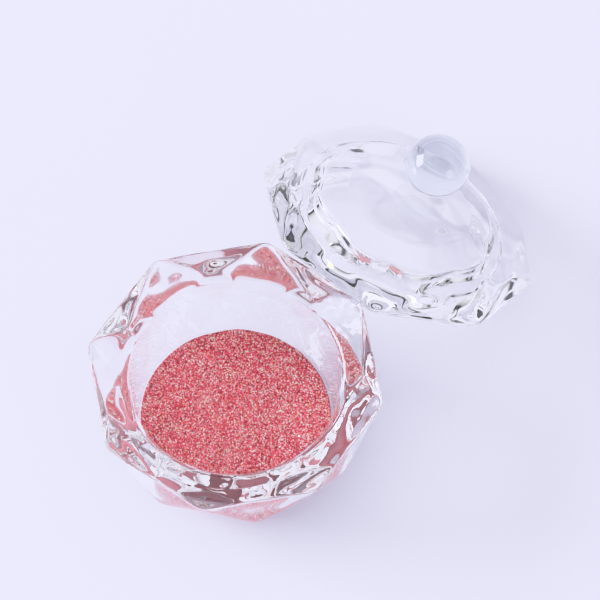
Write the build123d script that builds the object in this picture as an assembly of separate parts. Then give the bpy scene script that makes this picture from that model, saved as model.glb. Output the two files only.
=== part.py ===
from build123d import *
import os
from math import atan, cos, degrees, radians, sin

# A pressed crystal dappen dish: an eight-sided faceted cup with a round bowl, the powder in it,
# and a loose faceted lid with a ball knob.
#
# Millimetres, +Z up. The origin is the middle of the cup's foot, on the surface it stands on.
# The lid is off the cup: its underside leans on a corner of the rim, and one of its own corners
# is on the surface. Lid pieces are drawn with the middle of the underside at the origin, then placed.

SIDES = 8
STEP = 360 / SIDES                      # degrees from one corner to the next
EDGE_ROUND = 0.45                       # fire-polished edges of the pressed glass

# Cup, outside: three octagons, each turned half a step from the one below.
FOOT_RADIUS = 14.6                      # centre to corner, as are all the octagon radii
BELT_RADIUS = 21.8
BELT_HEIGHT = 10.2
RIM_RADIUS = 25.0
RIM_HEIGHT = 22.6
CUP_TURN = 32.8                         # direction of one corner of the rim, degrees from +X

# Cup, inside: a round bowl.
FLOOR_HEIGHT = 2.6
FLOOR_RADIUS = 9.5                      # flat part of the floor
HEEL_RADIUS = 16.2                      # where the floor's curve meets the wall
HEEL_HEIGHT = 7.2
MOUTH_RADIUS = 17.4
MOUTH_ROUND = 0.8

# Powder, level in the bowl. Loose grains lie on the glass without bonding to it.
POWDER_HEIGHT = 5.9
POWDER_GAP = 0.05

# Lid, outside: three octagons again, with the middle of the top ground to a smooth dome.
LID_RADIUS = 25.0
SHOULDER_RADIUS = 21.4
SHOULDER_HEIGHT = 5.0
SEAT_RADIUS = 4.6
SEAT_HEIGHT = 9.6
DOME_HEIGHT = 9.4
DOME_RADIUS = 50.0                      # of the sphere it is part of

# Lid, inside: a lip that drops into the mouth of the bowl, round a shallow hollow.
LIP_RADIUS = 17.0
LIP_DEPTH = 1.6                         # below the underside
LIP_WIDTH = 1.4
LIP_ROUND = 0.5
WALL_RADIUS = 15.2                      # of the hollow's steep wall, at its top
WALL_HEIGHT = 2.5
CEILING_RADIUS = 10.4                   # flat middle of the ceiling, inside a sloping band
CEILING_HEIGHT = 4.4
CEILING_RISE = 0.5                      # the ceiling is that much higher in the middle
CEILING_ROUND = 0.8                     # where the wall, the band and the middle meet

# Knob, a solid glass ball bedded in the seat.
KNOB_RADIUS = 5.4
KNOB_HEIGHT = 14.4                      # of its centre
KNOB_OFFSET = (1.8, -1.1)               # it was bonded a little off the middle

# How the lid lies.
LEAN_DIRECTION = 48.0                   # the way it slopes down, degrees from +X
LEAN_REACH = 62.4                       # from the cup's axis to the corner on the surface
LEAN_SIDE = 1.4                         # how far the lid lies to the left of that line
LEAN_GAP = 0.3                          # allowed over the rim's corner
LID_SPIN = 4.5                          # how far the lid is turned on its own axis


def octagon(radius, height, turn):
    """Corners of a level octagon."""
    angles = [radians(turn + STEP * corner) for corner in range(SIDES)]
    return [Vector(radius * cos(angle), radius * sin(angle), height) for angle in angles]


def polygon(corners):
    """A flat face."""
    return Face(Wire.make_polygon(corners))


def faceted_glass(tiers, turn):
    """A solid with triangular facets between octagons, and all its edges rounded.

    tiers holds the radius and height of each octagon, lowest first, over the rounded edges.
    """
    lowest = tiers[0][1] + EDGE_ROUND
    highest = tiers[-1][1] - EDGE_ROUND
    rings = []
    for level, (radius, height) in enumerate(tiers):
        inner_height = min(max(height, lowest), highest)
        rings.append(octagon(radius - EDGE_ROUND, inner_height, turn + STEP / 2 * level))
    faces = [polygon(rings[0]), polygon(rings[-1])]
    for lower, upper in zip(rings, rings[1:]):
        for corner in range(SIDES):
            after = (corner + 1) % SIDES
            faces.append(polygon([lower[corner], lower[after], upper[corner]]))
            faces.append(polygon([upper[corner], lower[after], upper[after]]))
    core = Solid(Shell(faces))
    return offset(core, amount=EDGE_ROUND, kind=Kind.ARC)


def turned(outline):
    """The solid that an outline in the XZ plane sweeps about the Z axis."""
    return revolve(make_face(outline), axis=Axis.Z)


def round_edges(solid):
    """The edges of a solid that are whole circles."""
    return solid.edges().filter_by(GeomType.CIRCLE).filter_by(lambda edge: edge.is_closed)


def bowl_space(gap, top):
    """The space inside the bowl, up to the given height, standing off the glass by a gap."""
    floor = FLOOR_HEIGHT + gap
    slope = (MOUTH_RADIUS - HEEL_RADIUS) / (RIM_HEIGHT - HEEL_HEIGHT)
    top_radius = HEEL_RADIUS + slope * (top - HEEL_HEIGHT) - gap
    heel = (HEEL_RADIUS - gap, HEEL_HEIGHT)
    wall_up = Vector(slope, 0, 1)
    outline = Curve() + [
        Line((0, 0, floor), (FLOOR_RADIUS, 0, floor)),
        Spline((FLOOR_RADIUS, 0, floor), (heel[0], 0, heel[1]), tangents=[(1, 0, 0), wall_up]),
        Line((heel[0], 0, heel[1]), (top_radius, 0, top)),
        Line((top_radius, 0, top), (0, 0, top)),
        Line((0, 0, top), (0, 0, floor)),
    ]
    return turned(outline)


def cup_glass():
    """The faceted cup with its bowl, and a rounded lip at the mouth."""
    tiers = [(FOOT_RADIUS, 0), (BELT_RADIUS, BELT_HEIGHT), (RIM_RADIUS, RIM_HEIGHT)]
    body = faceted_glass(tiers, CUP_TURN)
    bowl = bowl_space(0, RIM_HEIGHT + 1)
    cup = body - bowl
    mouth = round_edges(cup).sort_by(Axis.Z)[-1]
    return fillet(mouth, MOUTH_ROUND)


def powder_fill():
    """The powder, level on top."""
    above = Pos(0, 0, POWDER_HEIGHT) * Cylinder(
        RIM_RADIUS, RIM_HEIGHT, align=(Align.CENTER, Align.CENTER, Align.MIN))
    return bowl_space(POWDER_GAP, RIM_HEIGHT) - above


def knob_ball():
    """The ball knob, in the lid's own frame."""
    return Pos(*KNOB_OFFSET, KNOB_HEIGHT) * Sphere(KNOB_RADIUS)


def hollow_space():
    """The space under the lid, from the bottom of the lip up, with rounded edges in its ceiling."""
    peak = CEILING_HEIGHT + CEILING_RISE
    halfway = (CEILING_RADIUS / 2, 0, CEILING_HEIGHT + CEILING_RISE * 3 / 4)
    outline = Curve() + [
        Line((0, 0, -LIP_DEPTH), (LIP_RADIUS - LIP_WIDTH, 0, -LIP_DEPTH)),
        Line((LIP_RADIUS - LIP_WIDTH, 0, -LIP_DEPTH), (WALL_RADIUS, 0, WALL_HEIGHT)),
        Line((WALL_RADIUS, 0, WALL_HEIGHT), (CEILING_RADIUS, 0, CEILING_HEIGHT)),
        ThreePointArc((CEILING_RADIUS, 0, CEILING_HEIGHT), halfway, (0, 0, peak)),
        Line((0, 0, peak), (0, 0, -LIP_DEPTH)),
    ]
    space = turned(outline)
    ceiling_edges = round_edges(space).sort_by(Axis.Z)[-2:]
    return fillet(ceiling_edges, CEILING_ROUND)


def lid_glass():
    """The faceted, domed lid with its lip and hollow, and a dimple that the ball is bedded in."""
    tiers = [(LID_RADIUS, 0), (SHOULDER_RADIUS, SHOULDER_HEIGHT), (SEAT_RADIUS, SEAT_HEIGHT)]
    dome = Pos(0, 0, DOME_HEIGHT - DOME_RADIUS) * Sphere(DOME_RADIUS)
    body = faceted_glass(tiers, STEP / 2 + LID_SPIN) & dome
    lip = Cylinder(LIP_RADIUS, 2 * LIP_DEPTH)
    lid = body + lip - hollow_space()
    lip_edges = round_edges(lid).group_by(Axis.Z)[0]
    return fillet(lip_edges, LIP_ROUND) - knob_ball()


def lean_placement():
    """Where the lid's own frame lies when the lid leans on the rim."""
    corners = [CUP_TURN + STEP * corner for corner in range(SIDES)]
    support = RIM_RADIUS * max(cos(radians(corner - LEAN_DIRECTION)) for corner in corners)
    tilt = atan((RIM_HEIGHT + LEAN_GAP) / (LEAN_REACH - support))
    lowest_corner = cos(radians(STEP / 2 - LID_SPIN))
    along = LEAN_REACH - LID_RADIUS * lowest_corner * cos(tilt)
    height = (LID_RADIUS - EDGE_ROUND) * lowest_corner * sin(tilt) + EDGE_ROUND * (1 - cos(tilt))
    return Rot(0, 0, LEAN_DIRECTION) * Pos(along, LEAN_SIDE, height) * Rot(0, degrees(tilt), 0)


leaning = lean_placement()
nodes = {
    "cup_glass": cup_glass(),
    "powder_fill": powder_fill(),
    "lid_glass": leaning * lid_glass(),
    "knob_ball": leaning * knob_ball(),
}

os.makedirs("parts", exist_ok=True)
for name, shape in nodes.items():
    export_step(shape, f"parts/{name}.step")
    box = shape.bounding_box()
    print(name, round(shape.volume, 1), box.min, box.max)
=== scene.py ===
import math

import bpy
import numpy as np
from mathutils import Matrix, Vector


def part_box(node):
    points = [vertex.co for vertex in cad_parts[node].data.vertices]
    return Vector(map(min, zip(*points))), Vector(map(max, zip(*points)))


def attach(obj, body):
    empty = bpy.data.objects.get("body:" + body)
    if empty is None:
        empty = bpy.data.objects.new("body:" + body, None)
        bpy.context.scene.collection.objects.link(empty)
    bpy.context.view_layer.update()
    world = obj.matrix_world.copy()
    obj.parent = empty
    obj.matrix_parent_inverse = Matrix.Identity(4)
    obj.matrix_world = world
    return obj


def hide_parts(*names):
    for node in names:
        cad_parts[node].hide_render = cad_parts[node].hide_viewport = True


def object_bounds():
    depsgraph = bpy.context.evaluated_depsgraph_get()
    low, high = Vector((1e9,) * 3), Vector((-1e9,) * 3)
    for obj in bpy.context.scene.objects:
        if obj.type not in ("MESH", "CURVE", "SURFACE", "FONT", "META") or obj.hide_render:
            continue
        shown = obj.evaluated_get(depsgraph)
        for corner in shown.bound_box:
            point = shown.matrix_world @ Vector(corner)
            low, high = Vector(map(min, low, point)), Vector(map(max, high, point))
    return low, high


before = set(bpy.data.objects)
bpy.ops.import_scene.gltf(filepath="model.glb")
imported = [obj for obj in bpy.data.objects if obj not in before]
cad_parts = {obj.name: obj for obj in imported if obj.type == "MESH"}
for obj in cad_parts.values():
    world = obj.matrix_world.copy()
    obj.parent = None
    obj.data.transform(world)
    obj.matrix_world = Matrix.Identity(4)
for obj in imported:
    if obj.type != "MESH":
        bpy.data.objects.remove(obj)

# A pressed crystal dappen dish. The two faceted glass pieces are made again here with the soft,
# slightly wavy facets of fire-polished glass, and the powder with its uneven top and its grains.
# Glass sizes are in millimetres, as in the CAD; everything else is in metres.

CAD_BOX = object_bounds()
MM = 0.001

# Camera
VIEW_PITCH = 64.2                       # degrees below level
VIEW_DISTANCE = 0.841
VIEW_LENS = 300.0
SENSOR = 36.0
AIM_FROM_CENTRE = Vector((-0.0022, 0.0045, -0.0039))

# Glass meshes
SIDES = 8
STEP = 360 / SIDES
SPOKES = 480                            # points round each turn
SPACING = 0.36                          # from one row of points to the next
POLE_RADIUS = 0.6                       # of the cup's innermost rows, closed by fans of triangles
SEAT_POLE_RADIUS = 0.5                  # and of the one on top of the lid
ARC_POINTS = 9                          # along a rounded corner
CUP_SOFTNESS = 0.16                     # how far the polish rounds the facets into each other
LID_SOFTNESS = 0.22
SURFACE_STEPS = 12                      # of Newton's method, to find the softened surface
TINY = 1e-6

# Cup
CUP_TURN = 32.8                         # direction of one corner of the rim, degrees from +X
CUP_TIERS = [(14.6, 0.0), (21.8, 10.2), (25.0, 22.6)]  # radius and height of foot, belt and rim
CUP_CLEAR = 0.02                        # lowest point of the waves over the table
MOUTH_RADIUS = 17.4
MOUTH_ROUND = 1.6                       # fire-polished rounder than the pressed edge
HEEL_RADIUS = 16.2
HEEL_HEIGHT = 7.2
HEEL_POINTS = 25
FLOOR_RADIUS = 9.5
FLOOR_HEIGHT = 2.6

# Lid, in its own frame
LID_TIERS = [(25.0, 0.0), (21.4, 5.0), (4.6, 9.3)]     # radius and height of edge, shoulder and seat
LID_SPIN = 4.5                          # how far it is turned on its own axis
LID_SLOPE_TOWARDS = 48.0                # the way the leaning lid slopes down
LID_TILT = 30.89
DOME_HEIGHT = 9.4
DOME_RADIUS = 50.0                      # of the smooth middle of its top
DOME_BLEND = (6.0, 15.0)                # radii between which it passes into the facets
LIP_RADIUS = 17.0
LIP_DEPTH = 1.6
LIP_WIDTH = 1.4
LIP_ROUND = 0.5
LIP_ROOT_ROUND = 0.3                    # where the lip meets the underside
WALL_RADIUS = 15.2                      # of the hollow's steep wall, at its top
WALL_HEIGHT = 2.5
WALL_ROUND = 1.0
CEILING_RADIUS = 10.4
CEILING_HEIGHT = 4.4
CEILING_RISE = 0.5
CEILING_ROUND = 0.8
CEILING_SHARES = np.linspace(0.05, 0.8, 12)            # of its radius, with a row of points each
LOBE_DEPTH = 0.055                      # share of its radius by which the wall is scalloped
LOBE_START = 8.0                        # the scallops grow from here, over the next LOBE_GROWTH
LOBE_GROWTH = 6.0
LOBE_CUSP = 0.03                        # blunts the ridges between the scallops
KNOB_CENTRE = (1.8, -1.1, 14.4)

# Waves that the polish leaves in the glass
WAVE_SEED = 11
WAVE_COUNT = 14
WAVE_LENGTH = (5.0, 11.0)
WAVE_DEPTH = 0.035

# Glass material
CRYSTAL_TINT = (0.995, 0.997, 1.0, 1)
# The knob's darker tint is painted shade, standing in for the darker surroundings seen through the
# ball.
KNOB_SHADED_TINT = (0.75, 0.78, 0.82, 1)
GLASS_IOR = 1.52
RIPPLE_SCALE = 140.0
RIPPLE_STRENGTH = 0.03

# Powder
POWDER_SEED = 7
BED_RINGS = 60
BED_SPOKES = 192
BED_UNDERSIDE = [(0.985, 0.30), (0.93, 0.55), (0.84, 0.78), (0.7, 0.93), (0.55, 1.0)]  # radius, depth
HEAP_RISE = 0.25 * MM                   # at the wall, over the middle
SWELL_HEIGHT = 0.16 * MM
SWELL_LENGTHS = (2.1 * MM, 2.6 * MM)
SWELL_PHASES = (0.7, 1.1)
RIPPLE_HEIGHT = 0.10 * MM
RIPPLE_LENGTHS = (1.1 * MM, 1.4 * MM)
FURROW_DEPTH = 0.55 * MM
FURROW_CENTRE = (-1.6 * MM, -7 * MM)
FURROW_SIZE = (0.9 * MM, 2.6 * MM)
GRAIN_COUNT = 24000
GRAIN_SIZE = (0.10 * MM, 0.20 * MM)
GRAIN_SPREAD = 0.995                    # share of the powder's radius
GRAIN_RISE = (-0.02 * MM, 0.06 * MM)    # of a grain's middle over the bed
GRAIN_CORNERS = [(1, 0, 0), (0, 1, 0), (-1, 0, 0), (0, -1, 0), (0, 0, 0.7), (0, 0, -0.7)]
GRAIN_FACES = [(0, 1, 4), (1, 2, 4), (2, 3, 4), (3, 0, 4), (1, 0, 5), (2, 1, 5), (3, 2, 5), (0, 3, 5)]
BED_CELLS = 5500.0                      # scale of the bed's own grain pattern
BED_DARK = (0.55, 0.02, 0.05)
BED_LIGHT = (1.0, 0.20, 0.27)
PAINTED_LIGHT_DEPTH = 0.6 * MM                # below the surface, from where the powder's shaded sides and underside are painted paler, a painted light
PAINTED_LIGHT_SHARE = 0.85
# A lit colour painted on the powder's sides and underside, which lie in shade under the glass.
PAINTED_LIGHT_COLOUR = (1.0, 0.42, 0.48, 1)
GRAIN_COLOURS = [
    (0.0, (0.45, 0.01, 0.04)),
    (0.26, (1.00, 0.12, 0.18)),
    (0.50, (1.00, 0.36, 0.45)),
    (0.70, (1.00, 0.82, 0.84)),
    (0.83, (1.00, 0.72, 0.45)),
    (0.90, (1.00, 1.00, 0.96)),
]

# Floor and lamps
FLOOR_SIZE = 6.0
FLOOR_COLOUR = (0.68, 0.675, 0.79, 1)
FLOOR_PAINTED_GLOW = (0.82, 0.815, 0.95, 1)     # painted glow: the floor gives off light of its own, which lifts the shade under the foot
FLOOR_PAINTED_GLOW_STRENGTH = 0.22
SOFTBOXES = [
    ("left_softbox", (-1.25, 0.23, 0.55), (0.8, 0.65), 26),
    ("front_softbox", (0.85, -0.9, 0.45), (0.5, 0.7), 3),
]

# Sky: it is dark at the horizon and brightest overhead. At the back there are a bright panel, low
# down, and a dark screen over it. A stop is (height, level) or (depth, level), where the height is
# the Z of a direction and the depth its Y.
SKY_LEVELS = [(0.0, 0.04), (0.10, 0.04), (0.13, 0.80), (0.3, 0.80), (0.5, 0.62), (0.7, 1.2), (1.0, 1.7)]
SKY_STRENGTH = 0.82
SCREEN_HEIGHTS = [(0.28, 0.0), (0.30, 1.0), (0.46, 1.0), (0.48, 0.0)]
SCREEN_DEPTHS = [(0.0, 0.0), (0.05, 1.0)]
SCREEN_COLOUR = (0.03, 0.03, 0.04)
PANEL_HEIGHTS = [(0.10, 0.0), (0.13, 1.0), (0.22, 1.0), (0.28, 0.0)]
PANEL_DEPTHS = [(0.65, 0.0), (0.80, 1.0)]
PANEL_COLOUR = (2.4, 2.4, 2.5)

# Film response: nearly straight in the shadows, with a pale lavender shoulder
WARM_RESPONSE = [(0.0, 0.0), (0.45, 0.39), (0.8, 0.68), (1.0, 0.785), (1.2, 0.83), (4.0, 1.0)]
BLUE_RESPONSE = [(0.0, 0.0), (0.45, 0.41), (0.8, 0.74), (1.1, 0.91), (1.3, 0.97), (4.0, 1.02)]
GLASS_BOUNCES = 32
ALL_BOUNCES = 40


def add_camera():
    low, high = CAD_BOX
    aim = (low + high) / 2 + AIM_FROM_CENTRE
    pitch = math.radians(VIEW_PITCH)
    back = Vector((0, -math.cos(pitch), math.sin(pitch)))
    data = bpy.data.cameras.new("camera")
    data.lens = VIEW_LENS
    data.sensor_width = SENSOR
    data.clip_start = 0.05
    data.clip_end = 20.0
    camera = bpy.data.objects.new("camera", data)
    camera.location = aim + back * VIEW_DISTANCE
    camera.rotation_euler = (math.radians(90 - VIEW_PITCH), 0, 0)
    bpy.context.scene.collection.objects.link(camera)
    bpy.context.scene.camera = camera


def new_piece(name, mesh):
    """An object for a mesh, in the scene."""
    piece = bpy.data.objects.new(name, mesh)
    bpy.context.scene.collection.objects.link(piece)
    return piece


# ---------------------------------------------------------------- faceted glass


def ring(radius, height, angles):
    """Points at the given angles on a level circle, one row each."""
    return np.stack([radius * np.cos(angles), radius * np.sin(angles), np.full(len(angles), height)], 1)


def spoke_angles(turn):
    return np.radians(turn) + 2 * np.pi * np.arange(SPOKES) / SPOKES


def facet_planes(tiers, turn):
    """Outward normals and distances of all the flat faces of a faceted body."""
    corners = np.arange(SIDES)
    rings = [ring(radius, height, np.radians(turn + STEP / 2 * level + STEP * corners))
             for level, (radius, height) in enumerate(tiers)]
    normals = [np.array([0.0, 0.0, -1.0]), np.array([0.0, 0.0, 1.0])]
    distances = [-tiers[0][1], tiers[-1][1]]
    for lower, upper in zip(rings, rings[1:]):
        for corner in corners:
            after = (corner + 1) % SIDES
            for a, b, c in ((lower[corner], lower[after], upper[corner]),
                            (upper[corner], lower[after], upper[after])):
                normal = np.cross(b - a, c - a)
                normal /= np.linalg.norm(normal)
                normals.append(normal)
                distances.append(normal @ a)
    return np.array(normals), np.array(distances)


def outside_rows(tiers, turn, softness, stations):
    """Rows of points on the softened facets, one row for each (radius, height) station.

    A point lies where a line from the body's middle, through its station, meets the surface.
    The surface is where the smooth maximum of the distances to all the planes is zero.
    """
    normals, distances = facet_planes(tiers, turn)
    middle = np.array([0.0, 0.0, (tiers[0][1] + tiers[-1][1]) / 2])
    start = normals @ middle - distances
    rows = []
    for radius, height in stations:
        aim = ring(radius, height - middle[2], spoke_angles(turn))
        aim /= np.linalg.norm(aim, axis=1)[:, None]
        closing = aim @ normals.T
        reach = np.where(closing > TINY, -start / np.maximum(closing, TINY), np.inf).min(axis=1)
        for _ in range(SURFACE_STEPS):
            value = (start + closing * reach[:, None]) / softness
            peak = value.max(axis=1)
            weight = np.exp(value - peak[:, None])
            total = weight.sum(axis=1)
            height_over = softness * (peak + np.log(total))
            reach -= height_over / ((weight * closing).sum(axis=1) / total)
        rows.append(middle + aim * reach[:, None])
    return rows


def turned_rows(turn, stations):
    """Rows of points on a surface of revolution."""
    return [ring(radius, height, spoke_angles(turn)) for radius, height in stations]


def rounded(corners):
    """Points along a profile of (radius, height, rounding) corners, with arcs at the roundings."""
    path = []
    for index, (radius, height, rounding) in enumerate(corners):
        here = np.array([radius, height])
        if rounding == 0:
            path.append(here)
            continue
        back = np.array(corners[index - 1][:2]) - here
        ahead = np.array(corners[index + 1][:2]) - here
        back /= np.linalg.norm(back)
        ahead /= np.linalg.norm(ahead)
        half = math.acos(np.clip(back @ ahead, -1, 1)) / 2
        middle = (back + ahead) / np.linalg.norm(back + ahead)
        centre = here + middle * rounding / math.sin(half)
        first = here + back * rounding / math.tan(half) - centre
        last = here + ahead * rounding / math.tan(half) - centre
        sweep = math.pi - 2 * half
        for step in np.linspace(0, 1, ARC_POINTS):
            arm = math.sin((1 - step) * sweep) * first + math.sin(step * sweep) * last
            path.append(centre + arm / math.sin(sweep))
    return np.array(path)


def spaced(path, spacing):
    """The same path with points added so that none are further apart than the spacing."""
    points = [path[0]]
    for start, end in zip(path, path[1:]):
        pieces = max(1, math.ceil(np.linalg.norm(end - start) / spacing))
        for piece in range(1, pieces + 1):
            points.append(start + (end - start) * piece / pieces)
    return np.array(points)


def waves(points, rng):
    """A smooth, random rise and fall over the points."""
    total = np.zeros(len(points))
    for _ in range(WAVE_COUNT):
        heading = rng.normal(size=3)
        heading /= np.linalg.norm(heading)
        length = rng.uniform(*WAVE_LENGTH)
        total += np.sin(2 * np.pi * (points @ heading) / length + rng.uniform(0, 2 * np.pi))
    return WAVE_DEPTH * total / math.sqrt(WAVE_COUNT / 2)


def row_faces(count):
    """Faces between rows of points, with a fan at each end to a pole that follows the rows."""
    first_pole = count * SPOKES
    last_pole = first_pole + 1
    last_row = (count - 1) * SPOKES
    faces = []
    for spoke in range(SPOKES):
        after = (spoke + 1) % SPOKES
        faces.append((first_pole, after, spoke))
        faces.append((last_pole, last_row + spoke, last_row + after))
        for lower in range(0, last_row, SPOKES):
            upper = lower + SPOKES
            faces.append((lower + spoke, lower + after, upper + after, upper + spoke))
    return faces


def glass_piece(name, rows, lowest, placement, rng):
    """A closed mesh from rows of points, with the waves of the polish."""
    points = np.concatenate(rows + [rows[0].mean(axis=0)[None], rows[-1].mean(axis=0)[None]])
    mesh = bpy.data.meshes.new(name)
    mesh.from_pydata(points.tolist(), [], row_faces(len(rows)))
    mesh.shade_smooth()
    normals = np.empty(len(points) * 3)
    mesh.vertex_normals.foreach_get("vector", normals)
    points = points + normals.reshape(-1, 3) * waves(points, rng)[:, None]
    points[:, 2] = np.maximum(points[:, 2], lowest)
    mesh.vertices.foreach_set("co", (points * MM).ravel())
    mesh.transform(placement)
    mesh.update()
    mesh.materials.append(glass_material(name, CRYSTAL_TINT))
    return new_piece(name, mesh)


def cup_rows():
    """From the middle of the foot, out, up the facets, over the rim and down into the bowl."""
    foot, belt, rim = CUP_TIERS
    rim_height = rim[1]
    edge = (MOUTH_RADIUS + MOUTH_ROUND, rim_height)
    outside = spaced(np.array([(POLE_RADIUS, 0), foot, belt, rim, edge]), SPACING)
    lip = [(MOUTH_RADIUS + MOUTH_ROUND * (1 - math.sin(angle)),
            rim_height - MOUTH_ROUND * (1 - math.cos(angle)))
           for angle in np.linspace(0, math.pi / 2, ARC_POINTS)[1:]]
    heel = [(FLOOR_RADIUS + (HEEL_RADIUS - FLOOR_RADIUS) * math.cos(angle),
             HEEL_HEIGHT - (HEEL_HEIGHT - FLOOR_HEIGHT) * math.sin(angle))
            for angle in np.linspace(0, math.pi / 2, HEEL_POINTS)]
    inside = spaced(np.array(lip + heel + [(POLE_RADIUS, FLOOR_HEIGHT)]), 3 * SPACING)
    return outside_rows(CUP_TIERS, CUP_TURN, CUP_SOFTNESS, outside) + turned_rows(CUP_TURN, inside)


def lid_rows():
    """From the middle of the ceiling down over the lip, out under the edge and up to the seat."""
    edge, shoulder, seat = LID_TIERS
    turn = STEP / 2 + LID_SPIN
    inner = LIP_RADIUS - LIP_WIDTH
    lip_middle = (inner + LIP_WIDTH / 2, -LIP_DEPTH, 0)
    ceiling = [(CEILING_RADIUS * share, CEILING_HEIGHT + CEILING_RISE * (1 - share ** 2), 0)
               for share in CEILING_SHARES]
    hollow = rounded(ceiling + [
        (CEILING_RADIUS, CEILING_HEIGHT, CEILING_ROUND),
        (WALL_RADIUS, WALL_HEIGHT, WALL_ROUND),
        (inner, -LIP_DEPTH, LIP_ROUND),
        lip_middle,
    ])
    lip = rounded([
        lip_middle,
        (LIP_RADIUS, -LIP_DEPTH, LIP_ROUND),
        (LIP_RADIUS, 0, LIP_ROOT_ROUND),
        (LIP_RADIUS + 2 * LIP_ROOT_ROUND, 0, 0),
    ])
    underside = (LIP_RADIUS + 3 * LIP_ROOT_ROUND, 0)
    outside = spaced(np.array([underside, edge, shoulder, seat, (SEAT_POLE_RADIUS, seat[1])]), SPACING)
    rows = [scalloped(row) for row in turned_rows(turn, spaced(hollow, SPACING))]
    rows += turned_rows(turn, spaced(lip, SPACING)[1:])
    return rows + [domed(row) for row in outside_rows(LID_TIERS, turn, LID_SOFTNESS, outside)]


def scalloped(row):
    """A row of points drawn in a little opposite each corner, more so near the hollow's wall."""
    angle = np.arctan2(row[:, 1], row[:, 0]) - math.radians(STEP / 2 + LID_SPIN)
    cusp = 1 - np.sqrt(np.sin(angle * SIDES / 2) ** 2 + LOBE_CUSP)
    radius = np.hypot(row[:, 0], row[:, 1])
    half_lip = LIP_WIDTH / 2
    growing = np.clip((radius - LOBE_START) / LOBE_GROWTH, 0, 1)
    fading = np.clip((LIP_RADIUS - half_lip - radius) / half_lip, 0, 1)
    row = row.copy()
    row[:, :2] *= (1 - LOBE_DEPTH * cusp * growing * fading)[:, None]
    return row


def domed(row):
    """A row of points on the lid's outside, moved on to a smooth dome near the middle of the top."""
    radius = np.hypot(row[:, 0], row[:, 1])
    start, end = DOME_BLEND
    share = np.clip((end - radius) / (end - start), 0, 1)
    share = share * share * (3 - 2 * share) * (row[:, 2] > LID_TIERS[1][1])
    dome = DOME_HEIGHT - DOME_RADIUS + np.sqrt(DOME_RADIUS ** 2 - np.minimum(radius, end) ** 2)
    row = row.copy()
    row[:, 2] += (dome - row[:, 2]) * share
    return row


def lid_placement():
    """The lid's own frame, found from the middle of the knob."""
    low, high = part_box("knob_ball")
    heading = Matrix.Rotation(math.radians(LID_SLOPE_TOWARDS), 4, "Z")
    turn = heading @ Matrix.Rotation(math.radians(LID_TILT), 4, "Y")
    knob = turn @ (Vector(KNOB_CENTRE) * MM)
    return Matrix.Translation((low + high) / 2 - knob) @ turn


def add_glass():
    rng = np.random.default_rng(WAVE_SEED)
    cup = glass_piece("cup_crystal", cup_rows(), CUP_CLEAR, Matrix.Identity(4), rng)
    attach(cup, "cup")
    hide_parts("cup_glass")
    lid = glass_piece("lid_crystal", lid_rows(), -LIP_DEPTH, lid_placement(), rng)
    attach(lid, "lid")
    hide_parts("lid_glass")
    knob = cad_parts["knob_ball"].data
    knob.materials.clear()
    # The knob's glass is darkened, a painted shade in place of the darker surroundings it shows.
    knob.materials.append(glass_material("knob_ball", KNOB_SHADED_TINT))


# ---------------------------------------------------------------- materials


def new_material(name):
    material = bpy.data.materials.new(name)
    material.use_nodes = True
    tree = material.node_tree
    return material, tree.nodes, tree.links, tree.nodes["Principled BSDF"]


def add_ramp(nodes, stops):
    """A colour ramp, its stops given as (position, colour)."""
    ramp = nodes.new("ShaderNodeValToRGB")
    elements = ramp.color_ramp.elements
    elements.remove(elements[-1])
    elements[0].position = stops[0][0]
    elements[0].color = (*stops[0][1], 1)
    for position, colour in stops[1:]:
        elements.new(position).color = (*colour, 1)
    return ramp


def glass_material(name, tint):
    """Glass of the given tint with a faint ripple; the knob's darker tint is painted shade."""
    material, nodes, links, shader = new_material(name)
    shader.inputs["Base Color"].default_value = tint
    shader.inputs["Transmission Weight"].default_value = 1.0
    shader.inputs["IOR"].default_value = GLASS_IOR
    shader.inputs["Roughness"].default_value = 0.0
    coords = nodes.new("ShaderNodeTexCoord")
    ripple = nodes.new("ShaderNodeTexNoise")
    ripple.inputs["Scale"].default_value = RIPPLE_SCALE
    ripple.inputs["Detail"].default_value = 1.5
    ripple.inputs["Distortion"].default_value = 0.6
    bump = nodes.new("ShaderNodeBump")
    bump.inputs["Strength"].default_value = RIPPLE_STRENGTH
    bump.inputs["Distance"].default_value = MM
    links.new(coords.outputs["Object"], ripple.inputs["Vector"])
    links.new(ripple.outputs["Fac"], bump.inputs["Height"])
    links.new(bump.outputs["Normal"], shader.inputs["Normal"])
    return material


def powder_material(top):
    """Coral grains, with painted light: paler below the surface, on the sides and underside that lie in
    shade under the glass.
    """
    material, nodes, links, shader = new_material("powder_bed")
    coords = nodes.new("ShaderNodeTexCoord")
    grains = nodes.new("ShaderNodeTexVoronoi")
    grains.inputs["Scale"].default_value = BED_CELLS
    ramp = add_ramp(nodes, [(0.0, BED_DARK), (1.0, BED_LIGHT)])
    split = nodes.new("ShaderNodeSeparateXYZ")
    # Painted light: below the surface the colour turns paler, brightening the shaded sides and
    # underside seen through the glass.
    depth = nodes.new("ShaderNodeMapRange")
    depth.inputs["From Min"].default_value = top - PAINTED_LIGHT_DEPTH
    depth.inputs["From Max"].default_value = top
    depth.inputs["To Min"].default_value = PAINTED_LIGHT_SHARE
    depth.inputs["To Max"].default_value = 0.0
    mix = nodes.new("ShaderNodeMix")
    mix.data_type = "RGBA"
    mix.inputs["B"].default_value = PAINTED_LIGHT_COLOUR
    links.new(coords.outputs["Object"], grains.inputs["Vector"])
    links.new(grains.outputs["Color"], ramp.inputs["Fac"])
    links.new(coords.outputs["Object"], split.inputs["Vector"])
    links.new(split.outputs["Z"], depth.inputs["Value"])
    links.new(depth.outputs["Result"], mix.inputs["Factor"])
    links.new(ramp.outputs["Color"], mix.inputs["A"])
    links.new(mix.outputs["Result"], shader.inputs["Base Color"])
    shader.inputs["Roughness"].default_value = 0.6
    return material


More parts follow.
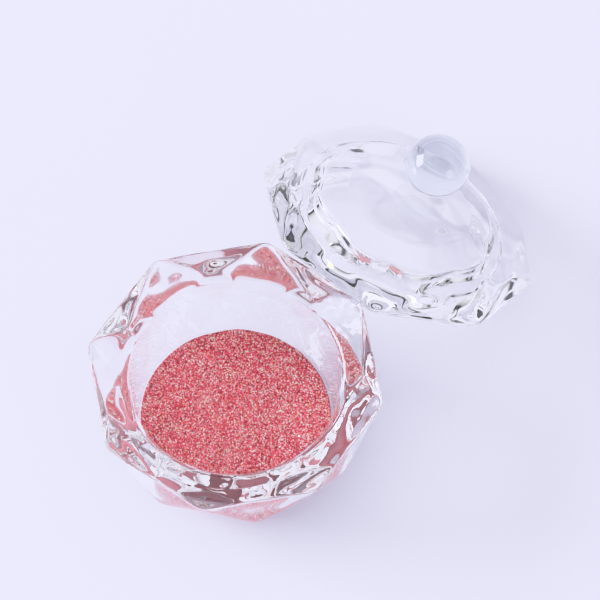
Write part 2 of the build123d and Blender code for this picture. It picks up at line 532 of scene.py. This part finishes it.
def grain_material():
    """Glitter: each grain has one of several colours."""
    material, nodes, links, shader = new_material("glitter_grain")
    geometry = nodes.new("ShaderNodeNewGeometry")
    ramp = add_ramp(nodes, GRAIN_COLOURS)
    ramp.color_ramp.interpolation = "CONSTANT"
    links.new(geometry.outputs["Random Per Island"], ramp.inputs["Fac"])
    links.new(ramp.outputs["Color"], shader.inputs["Base Color"])
    shader.inputs["Roughness"].default_value = 0.3
    shader.inputs["Metallic"].default_value = 0.15
    return material


# ---------------------------------------------------------------- powder


def heap_height(x, y, radius, top):
    """Height of the powder's surface."""
    swell_x = np.sin(x / SWELL_LENGTHS[0] + SWELL_PHASES[0])
    swell_y = np.sin(y / SWELL_LENGTHS[1] + SWELL_PHASES[1])
    ripple = np.sin(x / RIPPLE_LENGTHS[0] - y / RIPPLE_LENGTHS[1])
    across = (x - FURROW_CENTRE[0]) / FURROW_SIZE[0]
    along = (y - FURROW_CENTRE[1]) / FURROW_SIZE[1]
    furrow = np.exp(-across ** 2) * np.exp(-along ** 2)
    height = top + HEAP_RISE * (np.hypot(x, y) / radius) ** 2
    return height + SWELL_HEIGHT * swell_x * swell_y + RIPPLE_HEIGHT * ripple - FURROW_DEPTH * furrow


def add_bed(radius, low, top):
    """The powder as one closed mesh: its uneven top, and an underside that follows the bowl."""
    angles = 2 * math.pi * np.arange(BED_SPOKES) / BED_SPOKES
    rows = []
    for ring_number in range(1, BED_RINGS + 1):
        row = ring(radius * ring_number / BED_RINGS, top, angles)
        row[:, 2] = heap_height(row[:, 0], row[:, 1], radius, top)
        rows.append(row)
    for share, depth in BED_UNDERSIDE:
        rows.append(ring(radius * share, top - (top - low) * depth, angles))
    middle = [(0, 0, heap_height(0, 0, radius, top))]
    centre = len(rows) * BED_SPOKES
    last_row = centre - BED_SPOKES
    faces = [[last_row + spoke for spoke in range(BED_SPOKES)][::-1]]
    for spoke in range(BED_SPOKES):
        after = (spoke + 1) % BED_SPOKES
        faces.append((centre, spoke, after))
        for inner in range(0, last_row, BED_SPOKES):
            outer = inner + BED_SPOKES
            faces.append((inner + spoke, outer + spoke, outer + after, inner + after))
    mesh = bpy.data.meshes.new("powder_bed")
    mesh.from_pydata(np.concatenate(rows + [middle]).tolist(), [], faces)
    mesh.shade_smooth()
    mesh.materials.append(powder_material(top))
    bed = new_piece("powder_bed", mesh)
    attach(bed, "cup")
    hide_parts("powder_fill")


def random_turns(rng, count):
    """Rotation matrices, one for each grain, from random quaternions."""
    quaternions = rng.normal(size=(count, 4))
    quaternions /= np.linalg.norm(quaternions, axis=1)[:, None]
    w, i, j, k = quaternions.T
    turns = np.empty((count, 3, 3))
    turns[:, 0] = np.stack([1 - 2 * (j * j + k * k), 2 * (i * j - k * w), 2 * (i * k + j * w)], 1)
    turns[:, 1] = np.stack([2 * (i * j + k * w), 1 - 2 * (i * i + k * k), 2 * (j * k - i * w)], 1)
    turns[:, 2] = np.stack([2 * (i * k - j * w), 2 * (j * k + i * w), 1 - 2 * (i * i + j * j)], 1)
    return turns


def add_grains(radius, top):
    """Loose glitter grains, each a small flattened octahedron, scattered over the bed."""
    rng = np.random.default_rng(POWDER_SEED)
    angle = rng.uniform(0, 2 * np.pi, GRAIN_COUNT)
    reach = radius * GRAIN_SPREAD * np.sqrt(rng.uniform(0, 1, GRAIN_COUNT))
    x, y = reach * np.cos(angle), reach * np.sin(angle)
    z = heap_height(x, y, radius, top) + rng.uniform(*GRAIN_RISE, GRAIN_COUNT)
    size = rng.uniform(*GRAIN_SIZE, GRAIN_COUNT)
    turns = random_turns(rng, GRAIN_COUNT)
    corners = np.einsum("nij,vj->nvi", turns, np.array(GRAIN_CORNERS)) * size[:, None, None]
    corners += np.stack([x, y, z], 1)[:, None, :]
    first_corners = np.arange(GRAIN_COUNT) * len(GRAIN_CORNERS)
    faces = np.array(GRAIN_FACES)[None] + first_corners[:, None, None]
    mesh = bpy.data.meshes.new("glitter_grains")
    mesh.from_pydata(corners.reshape(-1, 3).tolist(), [], faces.reshape(-1, 3).tolist())
    mesh.materials.append(grain_material())
    grains = new_piece("glitter_grains", mesh)
    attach(grains, "cup")


def add_powder():
    low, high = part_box("powder_fill")
    add_bed(high.x, low.z, high.z)
    add_grains(high.x, high.z)


# ---------------------------------------------------------------- surroundings


def add_floor():
    bpy.ops.mesh.primitive_plane_add(size=FLOOR_SIZE, location=(0, 0, 0))
    floor = bpy.context.object
    floor.name = "floor"
    material, _, _, shader = new_material("floor")
    shader.inputs["Base Color"].default_value = FLOOR_COLOUR
    # The floor's emission is painted light, a glow that lifts the shade under the foot and softens the
    # contact shadows.
    shader.inputs["Emission Color"].default_value = FLOOR_PAINTED_GLOW
    shader.inputs["Emission Strength"].default_value = FLOOR_PAINTED_GLOW_STRENGTH
    shader.inputs["Roughness"].default_value = 0.5
    shader.inputs["Specular IOR Level"].default_value = 0.2
    floor.data.materials.append(material)


def add_softbox(name, place, size, power):
    """A rectangular lamp that faces the middle of the floor."""
    data = bpy.data.lights.new(name, "AREA")
    data.shape = "RECTANGLE"
    data.size, data.size_y = size
    data.energy = power
    lamp = bpy.data.objects.new(name, data)
    lamp.location = place
    lamp.rotation_euler = Vector(place).to_track_quat("Z", "Y").to_euler()
    bpy.context.scene.collection.objects.link(lamp)


def grey_stops(stops):
    """Ramp stops in grey, from (position, level)."""
    return [(position, (level, level, level)) for position, level in stops]


def add_world():
    """The sky, with the screen and then the panel laid over it."""
    world = bpy.data.worlds.new("studio")
    bpy.context.scene.world = world
    world.use_nodes = True
    nodes, links = world.node_tree.nodes, world.node_tree.links
    background = nodes["Background"]
    coords = nodes.new("ShaderNodeTexCoord")
    split = nodes.new("ShaderNodeSeparateXYZ")
    links.new(coords.outputs["Generated"], split.inputs["Vector"])
    brightest = SKY_LEVELS[-1][1]
    sky = add_ramp(nodes, grey_stops([(height, level / brightest) for height, level in SKY_LEVELS]))
    links.new(split.outputs["Z"], sky.inputs["Fac"])
    colour = sky.outputs["Color"]
    screen = (SCREEN_HEIGHTS, SCREEN_DEPTHS, SCREEN_COLOUR)
    panel = (PANEL_HEIGHTS, PANEL_DEPTHS, PANEL_COLOUR)
    for height_stops, depth_stops, area_colour in (screen, panel):
        heights = add_ramp(nodes, grey_stops(height_stops))
        depths = add_ramp(nodes, grey_stops(depth_stops))
        share = nodes.new("ShaderNodeMath")
        share.operation = "MULTIPLY"
        mix = nodes.new("ShaderNodeMix")
        mix.data_type = "RGBA"
        mix.inputs["B"].default_value = (*[part / brightest for part in area_colour], 1)
        links.new(split.outputs["Z"], heights.inputs["Fac"])
        links.new(split.outputs["Y"], depths.inputs["Fac"])
        links.new(heights.outputs["Color"], share.inputs[0])
        links.new(depths.outputs["Color"], share.inputs[1])
        links.new(share.outputs["Value"], mix.inputs["Factor"])
        links.new(colour, mix.inputs["A"])
        colour = mix.outputs["Result"]
    links.new(colour, background.inputs["Color"])
    background.inputs["Strength"].default_value = SKY_STRENGTH * brightest


def set_response():
    """The film's response, one curve for each of red, green and blue."""
    view = bpy.context.scene.view_settings
    view.view_transform = "Standard"
    view.use_curve_mapping = True
    mapping = view.curve_mapping
    mapping.use_clip = False
    for curve, points in zip(mapping.curves, (WARM_RESPONSE, WARM_RESPONSE, BLUE_RESPONSE)):
        curve.points[0].location = points[0]
        curve.points[1].location = points[-1]
        for point in points[1:-1]:
            curve.points.new(*point)
    mapping.update()


def set_bounces():
    """Enough bounces for light to find its way through the glass."""
    cycles = bpy.context.scene.cycles
    cycles.max_bounces = ALL_BOUNCES
    cycles.glossy_bounces = GLASS_BOUNCES
    cycles.transmission_bounces = GLASS_BOUNCES


add_camera()
add_world()
add_floor()
for softbox in SOFTBOXES:
    add_softbox(*softbox)
add_glass()
add_powder()
set_response()
set_bounces()
